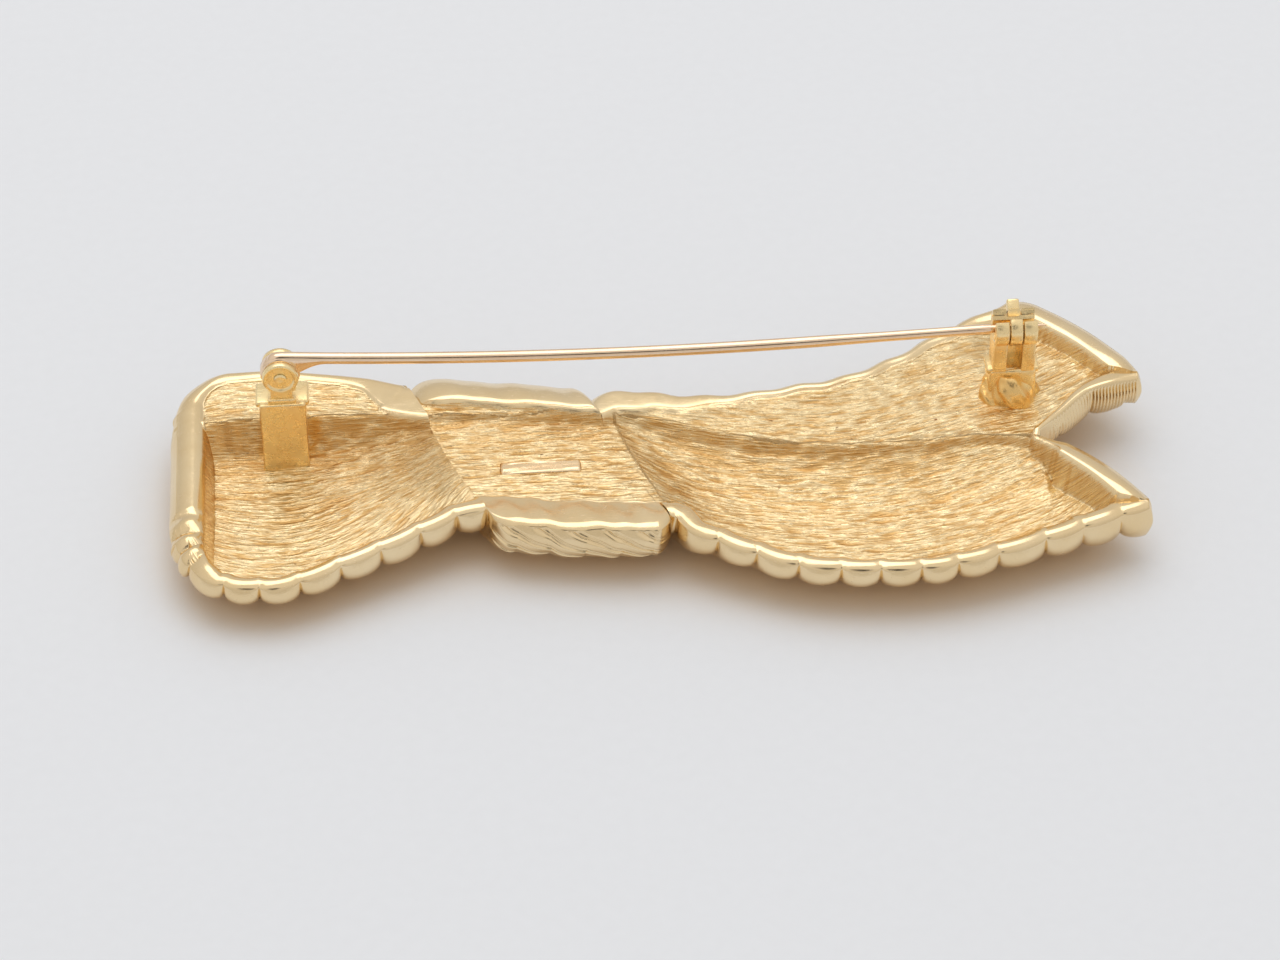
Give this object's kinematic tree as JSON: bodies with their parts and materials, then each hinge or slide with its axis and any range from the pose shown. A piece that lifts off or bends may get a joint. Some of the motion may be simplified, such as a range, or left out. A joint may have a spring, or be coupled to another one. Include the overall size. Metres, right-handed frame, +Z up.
{
  "type": "ribbon brooch",
  "caption": "Cast ribbon-shaped brooch with a knot and a forked end, a hollow back, a hinged pin stem and a roller catch, lying face down.",
  "frame": {"origin": "middle of the object's plan, on the surface that its ribbed front lies on", "axes": "+X from the short tail to the forked end, along the pin stem; +Y from the near edge to the far edge; +Z up out of the hollow back"},
  "size_m": [0.08, 0.0312, 0.0137],
  "materials": {
    "cast_gold": "polished gold plate, textured in the hollow",
    "fittings_gold": "gold plate, smooth",
    "stem_rose": "drawn wire, rose-gold tone"
  },
  "bodies": {
    "ribbon": {"ribbon_body": "cast_gold", "hinge_rivet": "fittings_gold"},
    "pin": {"pin_stem": "stem_rose"},
    "roller": {"catch_roller": "fittings_gold"}
  },
  "joints": [
    {"name": "pin_swing", "type": "hinge", "parent": "ribbon", "child": "pin", "pos_m": [-0.03068, 0.00528, 0.01115], "axis": [0, -1, 0], "range_deg": [0, 70]},
    {"name": "catch_turn", "type": "hinge", "parent": "ribbon", "child": "roller", "pos_m": [0.02863, 0.00528, 0.01191], "axis": [1, 0, 0], "range_deg": [0, 110]}
  ]
}
